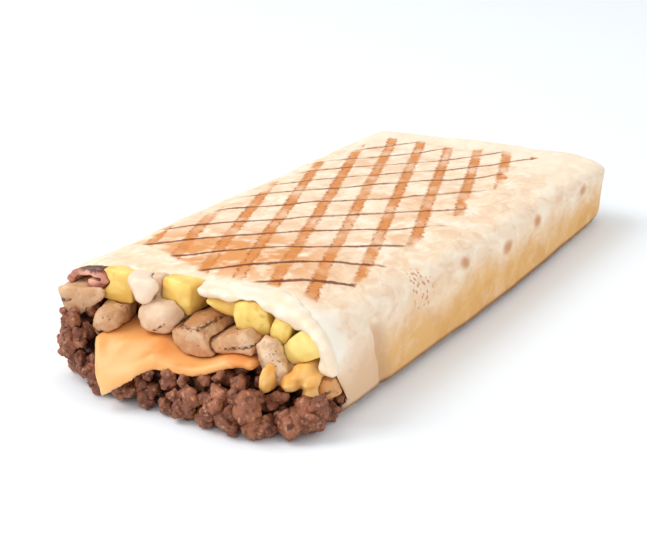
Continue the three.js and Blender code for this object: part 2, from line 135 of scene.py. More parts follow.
class Finish:
    """A procedural material, built up node by node on Object coordinates in millimetres."""

    def __init__(self, name):
        self.material = bpy.data.materials.new(name)
        self.material.use_nodes = True
        self.tree = self.material.node_tree
        self.shader = self.tree.nodes["Principled BSDF"]
        place = self.tree.nodes.new("ShaderNodeTexCoord").outputs["Object"]
        self.place = self.vector_math("SCALE", place, scale=1 / MM)

    def node(self, kind, inputs, **settings):
        """A new node; each input is another node's output, or a value, or None to leave it alone."""
        made = self.tree.nodes.new(kind)
        for key, value in settings.items():
            setattr(made, key, value)
        for key, value in inputs.items():
            if isinstance(value, bpy.types.NodeSocket):
                self.tree.links.new(value, made.inputs[key])
            elif value is not None:
                made.inputs[key].default_value = value
        return made

    def math(self, operation, a, b=None, c=None, clamp=False):
        inputs = {0: a, 1: b, 2: c}
        return self.node("ShaderNodeMath", inputs, operation=operation, use_clamp=clamp).outputs[0]

    def vector_math(self, operation, a, b=None, scale=None):
        inputs = {0: a, 1: b, "Scale": scale}
        made = self.node("ShaderNodeVectorMath", inputs, operation=operation)
        return made.outputs["Value" if operation in ("DOT_PRODUCT", "LENGTH") else "Vector"]

    def axis(self, which, vector=None):
        vector = vector or self.place
        return self.node("ShaderNodeSeparateXYZ", {0: vector}).outputs["XYZ".index(which)]

    def facing(self, which):
        """How far the surface faces along an axis, -1 to 1."""
        normal = self.tree.nodes.new("ShaderNodeNewGeometry").outputs["Normal"]
        return self.axis(which, normal)

    def ease(self, value, start, end, low=0.0, high=1.0):
        """Goes smoothly from low to high as the value goes from start to end."""
        inputs = {"Value": value, "From Min": start, "From Max": end, "To Min": low, "To Max": high}
        return self.node("ShaderNodeMapRange", inputs, interpolation_type="SMOOTHSTEP").outputs["Result"]

    def clouds(self, size, detail=3.0, stretch=(1, 1, 1), shift=0.0, roughness=0.5, twist=0.0):
        """Soft noise from 0 to 1, with features of that size in millimetres."""
        inputs = {"Vector": self.place, "Scale": stretch, "Location": (shift,) * 3}
        place = self.node("ShaderNodeMapping", inputs).outputs[0]
        inputs = {"Vector": place, "Scale": 1 / size, "Detail": detail, "Roughness": roughness}
        inputs["Distortion"] = twist
        return self.node("ShaderNodeTexNoise", inputs).outputs["Fac"]

    def cells(self, size, shift):
        """Distance to the middle of the nearest of scattered cells, in cells."""
        place = self.node("ShaderNodeMapping", {"Vector": self.place, "Location": (shift,) * 3}).outputs[0]
        return self.node("ShaderNodeTexVoronoi", {"Vector": place, "Scale": 1 / size}).outputs["Distance"]

    def near(self, spot, radius, softness, stretch):
        """1 at a spot given in millimetres and 0 outside its radius."""
        apart = self.vector_math("SUBTRACT", self.place, spot)
        apart = self.vector_math("MULTIPLY", apart, stretch)
        return self.ease(self.vector_math("LENGTH", apart), radius * (1 - softness), radius, 1.0, 0.0)

    def blend(self, amount, under, over):
        return self.node("ShaderNodeMix", {0: amount, 6: under, 7: over}, data_type="RGBA").outputs[2]

    def times(self, a, *others):
        for other in others:
            a = self.math("MULTIPLY", a, other)
        return a

    def most(self, a, *others):
        for other in others:
            a = self.math("MAXIMUM", a, other)
        return a

    def relief(self, height, depth, strength):
        """Bump of that depth in millimetres, over any bump that the finish already has."""
        bump = self.node("ShaderNodeBump", {"Height": height, "Distance": depth * MM, "Strength": strength})
        normal = self.shader.inputs["Normal"]
        if normal.is_linked:
            self.tree.links.new(normal.links[0].from_socket, bump.inputs["Normal"])
        self.tree.links.new(bump.outputs[0], normal)

    def set(self, **values):
        """Gives the shader's sockets their values, such as base_color for Base Color."""
        for key, value in values.items():
            socket = self.shader.inputs[key.replace("_", " ").title().replace("Ior", "IOR")]
            if isinstance(value, bpy.types.NodeSocket):
                self.tree.links.new(value, socket)
            else:
                socket.default_value = value

    def soften(self, weight, radius, scale):
        """Lets light run a little under the surface; the radius is for red, green and blue."""
        self.shader.inputs["Subsurface Weight"].default_value = weight
        self.shader.inputs["Subsurface Radius"].default_value = radius
        self.shader.inputs["Subsurface Scale"].default_value = scale * MM


# The grill's thin ribs run up to the right as seen from above, and fan out a little, because the soft sheet
# shifts under the press. They lie closer together towards the folded end. Millimetres, and angles from +X.
THIN_ACROSS = math.radians(139)  # direction across the thin lines
THIN_FIRST = -74.75  # where the first line is, measured across them
THIN_GAP_NEAR = 17.0
THIN_GAP_FAR = 12.3
THIN_CHANGE = 27.25  # where the gap changes
THIN_LEAN = 0.014  # how much a line leans, at the middle
THIN_FAN = -0.0015  # how much more it leans for each millimetre across
BROAD_ACROSS = math.radians(19.3)  # direction across the broad bars
BROAD_FIRST = -55.1
BROAD_GAP = 11.3
BROAD_HALF_WIDTH = 1.9
RIM_AT = 0.75  # where a bar's dotted rim is, as a share of its half width
# The grill has touched the sheet between these lines.
MARKS_LEFT = -39.0
MARKS_NEAR = -87.0
MARKS_SET_BACK = 17.0  # how much further back the near line is at the left edge
MARKS_RIGHT = 30.5  # at y = 0, and less by MARKS_TAPER for each millimetre towards the folded end
MARKS_TAPER = 0.06
MARKS_FAR = 100.8
TOASTED_SPOT = (-6.0, -66.0, 33.0)
TOASTED_RADIUS = 38.0
# A soft crease down the right flank near the cut, where y plus CREASE_LEAN times the height is CREASE_AT.
CREASE_LEAN = 0.32
CREASE_AT = -66.2
CREASE_TOP = 25.0 * MM
CREASE_WIDTH = 2.4 * MM
CREASE_DEPTH = 1.1 * MM
FLANK_FROM = 40.0 * MM  # the right flank lies beyond this x
BLISTERS = (  # place and radius of each
    ((46.6, -12.3, 22.8), 3.0),
    ((48.1, 19.0, 18.8), 3.2),
    ((48.1, 45.8, 20.0), 3.0),
    ((49.5, 89.2, 19.2), 3.2),
)
SPECKLED_SPOT = (44.7, -41.2, 23.5)
SPECKLED_RADIUS = 9.0
CREAM = paint(248, 224, 194)
CREAM_DEEP = paint(241, 210, 176)
CREAM_PALE = paint(254, 238, 216)
SWIRL_DEEP = paint(232, 200, 168)
SIDE_CREAM = paint(246, 222, 196)
FLANK_GOLD = paint(234, 182, 112)
FLANK_DEEP = paint(226, 168, 94)
FLANK_PINK = paint(228, 190, 152)
# painted shade: the crease's shadow on the right flank
CREASE_PAINTED_SHADE = paint(204, 162, 124)
TOAST = paint(224, 152, 88)
BAR_TAN = paint(214, 132, 58)
BAR_EDGE = paint(174, 92, 34)
LINE_FAR = paint(146, 80, 32)
LINE_NEAR = paint(108, 48, 12)
# painted contact shadow along the foot of the sheet
CONTACT_SHADOW_BROWN = paint(120, 72, 44)
SPOT_BROWN = paint(200, 136, 86)
SAUCED = paint(252, 240, 222)


def measured(skin, direction):
    """The place in millimetres, measured along a level direction."""
    x = skin.times(skin.axis("X"), math.cos(direction))
    y = skin.times(skin.axis("Y"), math.sin(direction))
    return skin.math("ADD", x, y)


def stripe_distance(skin, phase, gap):
    """How far, in millimetres, from the middle of the nearest line; the phase is whole on each line."""
    part = skin.math("FRACT", skin.math("ADD", phase, 0.5))
    return skin.times(skin.math("ABSOLUTE", skin.math("SUBTRACT", part, 0.5)), gap)


def grilled_area(skin):
    """1 where the grill has touched: the flat top, short of the right ridge and of the folded end."""
    x, y = skin.axis("X"), skin.axis("Y")
    wander = skin.ease(skin.clouds(14, 2), 0.3, 0.7, -3, 3)
    inside_left = skin.ease(skin.math("ADD", x, wander), MARKS_LEFT - 2, MARKS_LEFT + 2)
    rightward = skin.math("ADD", skin.math("ADD", x, skin.times(y, MARKS_TAPER)), wander)
    inside_right = skin.ease(rightward, MARKS_RIGHT - 1, MARKS_RIGHT + 2, 1.0, 0.0)
    rearward = skin.math("SUBTRACT", y, skin.ease(x, 2, -40, 0.0, MARKS_SET_BACK))
    inside_near = skin.ease(rearward, MARKS_NEAR - 1.5, MARKS_NEAR + 1.5)
    inside_far = skin.ease(skin.math("ADD", y, wander), MARKS_FAR - 3, MARKS_FAR + 3, 1.0, 0.0)
    on_top = skin.ease(skin.facing("Z"), 0.75, 0.9)
    return skin.times(inside_left, inside_right, inside_near, inside_far, on_top)


def thin_lines(skin, grilled, nearness_to_cut):
    """1 on the thin dark lines, which are broader and darker towards the cut."""
    over = measured(skin, THIN_ACROSS)
    along = measured(skin, THIN_ACROSS + math.pi / 2)
    lean = skin.math("MULTIPLY_ADD", over, THIN_FAN, THIN_LEAN)
    ripple = skin.ease(skin.clouds(26, 1.5, shift=40), 0.2, 0.8, -1.0, 1.0)
    over = skin.math("ADD", skin.math("SUBTRACT", over, skin.times(along, lean)), ripple)
    near_part = skin.math("SUBTRACT", skin.math("MINIMUM", over, THIN_CHANGE), THIN_FIRST)
    far_part = skin.math("MAXIMUM", skin.math("SUBTRACT", over, THIN_CHANGE), 0.0)
    near_gaps = skin.math("DIVIDE", near_part, THIN_GAP_NEAR)
    far_gaps = skin.math("DIVIDE", far_part, THIN_GAP_FAR)
    apart = stripe_distance(skin, skin.math("ADD", near_gaps, far_gaps), THIN_GAP_NEAR)
    rough = skin.ease(skin.clouds(1.6, 2, shift=70), 0.25, 0.75, -0.25, 0.25)
    half_width = skin.math("ADD", skin.ease(nearness_to_cut, 0.3, 1.0, 0.75, 0.9), rough)
    thin = skin.ease(skin.math("SUBTRACT", apart, half_width), -0.25, 0.35, 1.0, 0.0)
    thin = skin.times(thin, skin.ease(over, THIN_FIRST - 6, THIN_FIRST - 3), grilled)
    faintest = skin.ease(nearness_to_cut, 0.0, 0.8, 0.5, 0.85)
    return skin.times(thin, skin.ease(skin.clouds(9, 2.5, shift=7), 0.3, 0.6, faintest, 1.0))


def broad_bars(skin, grilled):
    """1 on the broad tan bars, and 1 on the darker dotted rim that some of them have."""
    ragged = skin.ease(skin.clouds(2.2, 3, shift=3), 0.2, 0.8, -0.5, 0.5)
    over = skin.math("ADD", measured(skin, BROAD_ACROSS), ragged)
    phase = skin.math("DIVIDE", skin.math("SUBTRACT", over, BROAD_FIRST), BROAD_GAP)
    apart = stripe_distance(skin, phase, BROAD_GAP)
    broad = skin.ease(apart, BROAD_HALF_WIDTH - 0.7, BROAD_HALF_WIDTH + 0.6, 1.0, 0.0)
    broad = skin.times(broad, grilled, skin.ease(skin.clouds(11, 3, shift=21), 0.3, 0.6, 0.4, 1.0))
    from_rim = skin.math("ABSOLUTE", skin.math("SUBTRACT", apart, BROAD_HALF_WIDTH * RIM_AT))
    dots = skin.ease(skin.clouds(1.1, 2, shift=33), 0.45, 0.6)
    some = skin.ease(skin.clouds(20, 2, shift=81), 0.36, 0.52)
    rim = skin.times(skin.ease(from_rim, 0.2, 0.7, 1.0, 0.0), dots, grilled, some)
    return broad, rim


def sheet_colour(skin, swirl, at_side):
    """Mottled cream with fine swirls, golden low down at the sides and paler on top at the folded end."""
    x, y, z = (skin.axis(name) for name in "XYZ")
    colour = skin.blend(skin.ease(skin.clouds(13, 4, shift=11), 0.35, 0.68), CREAM, CREAM_DEEP)
    colour = skin.blend(at_side, colour, SIDE_CREAM)
    colour = skin.blend(skin.ease(swirl, 0.46, 0.66, 0.0, 0.85), colour, CREAM_PALE)
    colour = skin.blend(skin.ease(swirl, 0.34, 0.47, 0.7, 0.0), colour, SWIRL_DEEP)
    height = skin.math("ADD", z, skin.ease(skin.clouds(24, 3, shift=31), 0.2, 0.8, -5, 5))
    height = skin.math("ADD", height, skin.ease(y, 30, 105, 0.0, 3.5))
    low = skin.ease(height, 10, 26, 1.0, 0.0)
    gold = skin.blend(skin.ease(skin.clouds(9, 3, shift=50), 0.4, 0.7), FLANK_GOLD, FLANK_DEEP)
    gold = skin.blend(skin.ease(swirl, 0.5, 0.72, 0.0, 0.3), gold, SIDE_CREAM)
    # The right flank is pinkish in front of the crease; behind it a brown painted shade, the crease's shadow,
    # fades away.
    behind_crease = skin.math("ADD", y, skin.times(z, CREASE_LEAN))
    beyond = skin.most(skin.ease(behind_crease, CREASE_AT - 1.2, CREASE_AT), skin.ease(x, 5, -5))
    gold = skin.blend(beyond, FLANK_PINK, gold)
    colour = skin.blend(skin.times(low, at_side, 0.95), colour, gold)
    painted_crease_shade = skin.times(skin.ease(behind_crease, CREASE_AT - 0.9, CREASE_AT), skin.ease(z, 25, 20, 0.0, 0.75))
    painted_crease_shade = skin.times(painted_crease_shade, skin.ease(behind_crease, CREASE_AT + 1, CREASE_AT + 9, 1.0, 0.0))
    colour = skin.blend(skin.times(painted_crease_shade, at_side, skin.ease(x, 0, 10)), colour, CREASE_PAINTED_SHADE)
    far_top = skin.times(skin.ease(y, 50, 108, 0.0, 0.6), skin.ease(skin.facing("Z"), 0.4, 0.8))
    return skin.blend(far_top, colour, CREAM_PALE)


def tortilla_finish():
    skin = Finish("baked_tortilla")
    x, y, z = (skin.axis(name) for name in "XYZ")
    at_side = skin.ease(skin.math("ABSOLUTE", skin.facing("X")), 0.25, 0.75)
    swirl = skin.clouds(5, 5, stretch=(1, 0.6, 1), shift=5, roughness=0.6, twist=0.7)
    colour = sheet_colour(skin, swirl, at_side)
    # What the grill has left: toasted patches, the bars with their rims, and the thin lines over them.
    nearness_to_cut = skin.ease(y, -90, 40, 1.0, 0.0)
    grilled = grilled_area(skin)
    thin = thin_lines(skin, grilled, nearness_to_cut)
    broad, rim = broad_bars(skin, grilled)
    toasted = skin.near(TOASTED_SPOT, TOASTED_RADIUS, 0.8, (0.7, 1, 1))
    toasted = skin.times(toasted, skin.ease(skin.clouds(7, 4), 0.35, 0.55))
    toasted = skin.most(toasted, skin.ease(skin.clouds(12, 3, shift=60), 0.45, 0.72, 0, 0.4))
    colour = skin.blend(skin.times(toasted, grilled), colour, TOAST)
    colour = skin.blend(skin.times(broad, 0.92), colour, BAR_TAN)
    colour = skin.blend(skin.times(rim, 0.8), colour, BAR_EDGE)
    line = skin.blend(nearness_to_cut, LINE_FAR, LINE_NEAR)
    colour = skin.blend(skin.times(thin, 0.92), colour, line)
    # Brown blisters, a patch of dark specks with a few more round about, and a painted contact shadow: a brown
    # line along the ground.
    blistered = skin.most(*[skin.near(spot, radius, 0.8, (1, 0.6, 1)) for spot, radius in BLISTERS])
    colour = skin.blend(skin.times(blistered, 0.8), colour, SPOT_BROWN)
    specks = skin.ease(skin.cells(1.7, shift=2), 0.2, 0.44, 1.0, 0.0)
    patch = skin.times(skin.near(SPECKLED_SPOT, SPECKLED_RADIUS, 0.5, (1, 1, 1.1)), specks)
    few = skin.times(skin.ease(skin.cells(13, shift=9), 0.03, 0.09, 1.0, 0.0), at_side, 0.6)
    colour = skin.blend(skin.times(skin.most(patch, few), 0.8), colour, SPOT_BROWN)
    painted_contact_shadow = skin.times(skin.ease(z, 2.4, 4.2, 1.0, 0.0), skin.ease(skin.facing("Z"), -0.97, -0.85))
    colour = skin.blend(skin.times(painted_contact_shadow, 0.85), colour, CONTACT_SHADOW_BROWN)
    # Sauce smeared over the edge of the cut at the right.
    smear = skin.math("ADD", y, skin.ease(skin.clouds(7, 3, shift=90), 0.2, 0.8, -3, 3))
    smear = skin.times(skin.ease(smear, -94, -86, 1.0, 0.0), skin.ease(x, -4, 6), skin.ease(z, 14, 22))
    colour = skin.blend(smear, colour, SAUCED)
    skin.set(base_color=colour, specular_ior_level=0.25)
    skin.set(roughness=skin.ease(smear, 0.0, 1.0, 0.7, 0.4))
    skin.soften(0.2, (1.0, 0.65, 0.4), 2.0)
    skin.relief(skin.clouds(5.5, 4, shift=15, twist=0.8), 0.6, 0.6)
    skin.relief(swirl, 0.6, 0.7)
    skin.relief(skin.most(thin, skin.times(broad, 0.6)), -0.5, 0.6)
    return skin.material


tortilla = copied_solid("tortilla", "folded_tortilla")
rounded(tortilla, SHEET_ROUNDING)
for size, depth in SHEET_DENTS:
    dented(tortilla, size, depth)
for vertex in tortilla.data.vertices:
    apart = (vertex.co.y + CREASE_LEAN * vertex.co.z - CREASE_AT * MM) / CREASE_WIDTH
    if vertex.co.x > FLANK_FROM and vertex.co.z < CREASE_TOP:
        vertex.co.x -= CREASE_DEPTH * math.exp(-apart * apart)
    vertex.co.z = max(vertex.co.z, 0.0)
smooth_shaded(tortilla)
tortilla.data.materials.append(tortilla_finish())
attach(tortilla, "root")
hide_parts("tortilla")

# ---- the minced beef ----
# Browned minced beef in moist grainy crumbles that cling together. It fills the lower half of the parcel and
# spills out at the cut in a heap. A core runs through the parcel, painted near black as painted shade for the
# gaps between the crumbles, which lie sunk in its front.
CORE_GRAIN = 1.1 * MM
CORE_SINK = 3.2 * MM  # how far the core lies under the heap's face
CORE_SINK_RUN = 8.0 * MM  # the length over which it sinks
CORE_DENTS = (4 * MM, 1.6 * MM)  # size and depth
CRUMBLE_KINDS = 10
CRUMBLE_GRAIN = 0.42 * MM
CRUMBLE_DENTS = (1.3 * MM, 0.7 * MM)
CRUMBLE_FACES = 900  # triangles in one crumble
CRUMBLE_RADIUS = 3.3 * MM
CRUMBLE_REACH = -80 * MM  # crumbles lie in front of this
CRUMBLE_SPACING = 4.1 * MM
CRUMBLE_SCALES = (0.7, 1.3)
CRUMBLE_SMALLEST = 0.5  # scale of one squeezed between the heap and another piece
CRUMBLE_SQUEEZE = 1.6 * MM  # how far a crumble may reach past the room that it has
CRUMBLE_SINK = 0.4  # of its radius
LEAST_ROOM = 0.2 * MM  # between a spot and the sheet or another filling, apart from the sauce
LEAST_HEIGHT = 0.1 * MM  # over the ground
NUGGET_SCALE = 1.35  # of the low crumbles at the right, which are the largest
NUGGETS_FROM = 14 * MM
NUGGETS_BELOW = 12 * MM
HEAP_HALF_WIDTH = 46.0 * MM
SPOT_TRIES = 9000
FACING_BACK = 0.35  # a face turned further back than this isn't seen
FACING_DOWN = -0.75  # nor is one turned further down than this
MINCE_SEED = 11
# Lumps and grains of one crumble, in millimetres.
LUMP_RADII = (1.8, 2.4)
SIDE_LUMP_RADII = (1.1, 1.8)
SIDE_LUMP_PLACES = (1.3, 2.3)
GRAIN_RADII = (0.4, 0.8)
GRAINS_EACH = 7  # for each millimetre of a lump's radius
GRAIN_PLACE = 0.95  # of a lump's radius
MINCE_BROWN = paint(112, 60, 38)
MINCE_TAN = paint(162, 100, 70)
# painted highlight, laid on as small light flecks
MINCE_PAINTED_HIGHLIGHT = paint(200, 144, 108)
MINCE_DARK = paint(72, 34, 20)
# painted shade: the core shows only in the gaps between the crumbles
CORE_PAINTED_SHADE_DARK = paint(46, 20, 12)
CORE_PAINTED_SHADE_BROWN = paint(84, 44, 30)


def mince_finish():
    meat = Finish("browned_mince")
    colour = meat.blend(meat.ease(meat.clouds(5, 3), 0.35, 0.65), MINCE_BROWN, MINCE_TAN)
    # Small light flecks of painted highlight.
    colour = meat.blend(meat.ease(meat.clouds(1.4, 3, shift=9), 0.52, 0.74, 0.0, 0.8), colour, MINCE_PAINTED_HIGHLIGHT)
    colour = meat.blend(meat.ease(meat.clouds(2.2, 3, shift=19), 0.3, 0.46, 0.85, 0.0), colour, MINCE_DARK)
    meat.set(base_color=colour, specular_ior_level=0.4)
    meat.set(roughness=meat.ease(meat.clouds(2, 2, shift=4), 0.3, 0.7, 0.36, 0.62))
    meat.soften(0.08, (1.0, 0.45, 0.25), 1.0)
    meat.relief(meat.clouds(0.8, 4, shift=30), 0.4, 0.9)
    return meat.material


def painted_shade_core_finish():
    meat = Finish("painted_shade_mince_core")
    # Near black, as painted shade for the gaps between the crumbles.
    colour = meat.blend(meat.ease(meat.clouds(3, 3), 0.35, 0.65), CORE_PAINTED_SHADE_DARK, CORE_PAINTED_SHADE_BROWN)
    meat.set(base_color=colour, roughness=meat.ease(meat.clouds(2, 2), 0.3, 0.7, 0.4, 0.65))
    meat.relief(meat.clouds(1.1, 4), 0.5, 0.9)
    return meat.material


def any_way(dice):
    """A random direction."""
    return Vector([dice.gauss(0, 1) for _ in range(3)]).normalized()


def made_crumble(kind):
    """One crumble about 7 mm across: a few lumps run together, with grains all over them."""
    dice = random.Random(MINCE_SEED + kind)
    lumps = [(Vector((0, 0, 0)), dice.uniform(*LUMP_RADII))]
    for _ in range(dice.randint(1, 3)):
        lumps.append((any_way(dice) * dice.uniform(*SIDE_LUMP_PLACES), dice.uniform(*SIDE_LUMP_RADII)))
    grains = []
    for middle, radius in lumps:
        for _ in range(int(GRAINS_EACH * radius)):
            grains.append((middle + any_way(dice) * radius * GRAIN_PLACE, dice.uniform(*GRAIN_RADII)))
    bits = []
    for spot, radius in lumps + grains:
        deselect_all()
        bpy.ops.mesh.primitive_ico_sphere_add(subdivisions=2, radius=radius * MM, location=spot * MM)
        bits.append(bpy.context.object)
    for bit in bits:
        bit.select_set(True)
    bpy.context.view_layer.objects.active = bits[0]
    bpy.ops.object.join()
    crumble = bits[0]
    shaped(crumble, "REMESH", mode="VOXEL", voxel_size=CRUMBLE_GRAIN)
    dented(crumble, *CRUMBLE_DENTS)
    shaped(crumble, "DECIMATE", ratio=min(1.0, CRUMBLE_FACES / (2 * len(crumble.data.polygons))))
    return crumble


def search_trees(nodes):
    """For each of those CAD solids, what finds the nearest place on it."""
    trees = []
    for node in nodes:
        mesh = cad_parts[node].data
        trees.append(BVHTree.FromPolygons([v.co for v in mesh.vertices], [p.vertices for p in mesh.polygons]))
    return trees


def scattered_spots(piece, spacing, reach, dice):
    """Spots on the part of a piece's surface in front of reach that a viewer could see, a spacing apart, each
    with the surface's direction."""
    mesh = piece.data
    mesh.calc_loop_triangles()
    seen = []
    for t in mesh.loop_triangles:
        corners = [mesh.vertices[i].co for i in t.vertices]
        in_reach = sum(p.y for p in corners) / 3 < reach
        if in_reach and t.normal.y < FACING_BACK and t.normal.z > FACING_DOWN:
            seen.append((corners, t.normal.copy(), t.area))
    areas = [area for _, _, area in seen]
    kept = []
    for (a, b, c), normal, _ in dice.choices(seen, weights=areas, k=SPOT_TRIES):
        u, v = dice.random(), dice.random()
        if u + v > 1:
            u, v = 1 - u, 1 - v
        spot = a + (b - a) * u + (c - a) * v
        if all((spot - other).length > spacing for other, _ in kept):
            kept.append((spot, normal))
    return kept


core = copied_solid("minced_beef", "painted_shade_mince_core")
dice = random.Random(MINCE_SEED)
spots = scattered_spots(core, CRUMBLE_SPACING, CRUMBLE_REACH, dice)
shaped(core, "REMESH", mode="VOXEL", voxel_size=CORE_GRAIN)
shaped(core, "SMOOTH", factor=0.5, iterations=3)
front = core.vertex_groups.new(name="front")
for vertex in core.data.vertices:
    share = min(max((CRUMBLE_REACH - vertex.co.y) / CORE_SINK_RUN, 0.0), 1.0)
    front.add([vertex.index], share, "REPLACE")
shaped(core, "DISPLACE", strength=-CORE_SINK, mid_level=0.0, vertex_group="front")
dented(core, *CORE_DENTS, middle=1.0)
smooth_shaded(core)
core.data.materials.append(painted_shade_core_finish())

kinds = [made_crumble(kind) for kind in range(CRUMBLE_KINDS)]
others = search_trees([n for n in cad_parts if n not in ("minced_beef", "cheese_sauce")])
crumbles = []
for spot, normal in spots:
    room = min(tree.find_nearest(spot)[3] for tree in others)
    if room < LEAST_ROOM:
        continue
    scale = dice.uniform(*CRUMBLE_SCALES)
    if spot.x > NUGGETS_FROM and spot.z < NUGGETS_BELOW:
        scale *= NUGGET_SCALE
    scale = min(scale, max(CRUMBLE_SMALLEST, (room + CRUMBLE_SQUEEZE) / CRUMBLE_RADIUS))
    turn = Euler([dice.uniform(0, math.tau) for _ in range(3)]).to_matrix().to_4x4()
    crumble = bpy.data.objects.new("crumble", dice.choice(kinds).data.copy())
    bpy.context.scene.collection.objects.link(crumble)
    place = spot - normal * CRUMBLE_SINK * CRUMBLE_RADIUS * scale
    crumble.data.transform(Matrix.Translation(place) @ turn @ Matrix.Scale(scale, 4))
    lowest = min(v.co.z for v in crumble.data.vertices)
    furthest = max(abs(v.co.x) for v in crumble.data.vertices)
    aside = -math.copysign(max(0.0, furthest - HEAP_HALF_WIDTH), spot.x)
    crumble.data.transform(Matrix.Translation((aside, 0, max(0.0, LEAST_HEIGHT - lowest))))
    crumbles.append(crumble)
for kind in kinds:
    bpy.data.objects.remove(kind)
deselect_all()
for crumble in crumbles:
    crumble.select_set(True)
bpy.context.view_layer.objects.active = crumbles[0]
bpy.ops.object.join()
mince = crumbles[0]
mince.name = "mince_crumbles"
smooth_shaded(mince)
mince.data.materials.append(mince_finish())
for piece in (core, mince):
    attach(piece, "root")
    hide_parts("minced_beef")

# ---- the cheese slice ----
# A slice of processed cheddar, about 2.4 mm thick, soft from the heat. It lies between mince and chicken,
# follows the waves of the mince, and its front corner hangs down over the heap at the left.
SLICE_GRAIN = 0.6 * MM
SLICE_ORANGE = paint(242, 174, 104)
SLICE_PALE = paint(248, 190, 132)
SLICE_DEEP = paint(230, 150, 80)


def refined(node, name, grain, smoothing):
    """A filling's solid as one fine even mesh, with its facets smoothed away in that many passes."""
    piece = copied_solid(node, name)
    shaped(piece, "REMESH", mode="VOXEL", voxel_size=grain)
    shaped(piece, "SMOOTH", factor=0.5, iterations=smoothing)
    return piece


def slice_finish():
    cheese = Finish("cheddar_slice")
    height = cheese.math("ADD", cheese.axis("Z"), cheese.ease(cheese.clouds(9, 2, shift=6), 0.2, 0.8, -4, 4))
    colour = cheese.blend(cheese.ease(height, 6, 15, 1.0, 0.0), SLICE_ORANGE, SLICE_PALE)
    deep = cheese.times(cheese.ease(height, 15, 19), cheese.ease(cheese.axis("X"), -16, -8))
    colour = cheese.blend(deep, colour, SLICE_DEEP)
    cheese.set(base_color=colour, roughness=cheese.ease(cheese.clouds(8, 2, shift=3), 0.3, 0.7, 0.32, 0.45))
    cheese.set(specular_ior_level=0.4)
    cheese.soften(0.3, (1.0, 0.6, 0.3), 2.2)
    cheese.relief(cheese.clouds(6, 2, shift=8), 0.3, 0.3)
    return cheese.material


cheese_slice = refined("cheese_slice", "softened_cheese_slice", SLICE_GRAIN, smoothing=26)
smooth_shaded(cheese_slice)
cheese_slice.data.materials.append(slice_finish())
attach(cheese_slice, "root")
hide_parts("cheese_slice")

# ---- the chicken ----
# Chunks of grilled chicken breast, beige with brown pores, laid side by side over the cheese slice. Most have
# a dark broken line from the grill, and the middle one is paler and rounder.
CHICKEN_GRAIN = 0.5 * MM
CHICKEN_SMOOTHING = 9
PALE_CHUNK_SMOOTHING = 22
CHICKEN_DENTS = ((5 * MM, 1.3 * MM), (1.6 * MM, 0.45 * MM))  # size and depth of each
BEIGE = paint(220, 182, 144)
LIGHT_BEIGE = paint(236, 208, 176)
TAN = paint(198, 150, 108)
PALE = paint(228, 198, 168)
PALE_TAN = paint(214, 178, 146)
ORANGE_TAN = paint(222, 164, 104)
ORANGE_DEEP = paint(214, 150, 88)
CHAR = paint(92, 50, 28)
BROWNED = paint(184, 128, 82)
PORE_BROWN = paint(120, 70, 42)
# Dark grill lines, each from one x and z to another as seen from the cut, with half its width. Millimetres.
TWO_LINES = [((-3.2, 23.6), (4.2, 24.8), 0.32), ((4.6, 24.6), (8.8, 26.8), 0.5)]
# For each chunk: its two colours, how many pores, how brown its top is, and its grill lines.
CHICKEN_LOOKS = {
    "chicken_left_wedge": (BEIGE, TAN, 0.5, 0.0, [((-46, 23.6), (-41, 24.6), 0.5)]),
    "chicken_left": (BEIGE, TAN, 0.9, 0.2, [((-31.5, 18.2), (-26.5, 16.2), 0.5)]),
    "chicken_middle": (PALE, PALE_TAN, 0.1, 0.0, [((-12.2, 20.2), (-8.0, 23.0), 0.3)]),
    "chicken_grilled": (BEIGE, TAN, 0.9, 0.9, TWO_LINES),
    "chicken_pointed": (BEIGE, TAN, 0.7, 0.5, [((13.6, 20.4), (23.2, 23.0), 0.4)]),
    "chicken_right": (LIGHT_BEIGE, TAN, 0.7, 0.0, []),
    "chicken_edge": (ORANGE_TAN, ORANGE_DEEP, 1.0, 0.3, [((39.5, 8.6), (43.0, 10.8), 0.5)]),
}


def streak(meat, start, end, half_width):
    """1 along a line from start to end, each an x and z in millimetres."""
    aim = Vector((end[0] - start[0], 0, end[1] - start[1]))
    flat = meat.vector_math("MULTIPLY", meat.place, (1, 0, 1))
    apart = meat.vector_math("SUBTRACT", flat, (start[0], 0, start[1]))
    along = meat.vector_math("DOT_PRODUCT", apart, aim / aim.length_squared)
    along = meat.math("MULTIPLY", along, 1.0, clamp=True)
    foot = meat.vector_math("SCALE", tuple(aim), scale=along)
    away = meat.vector_math("LENGTH", meat.vector_math("SUBTRACT", apart, foot))
    away = meat.math("ADD", away, meat.ease(meat.clouds(1.4, 2, shift=17), 0.25, 0.75, -0.3, 0.3))
    return meat.ease(away, half_width * 0.5, half_width * 1.6, 1.0, 0.0)


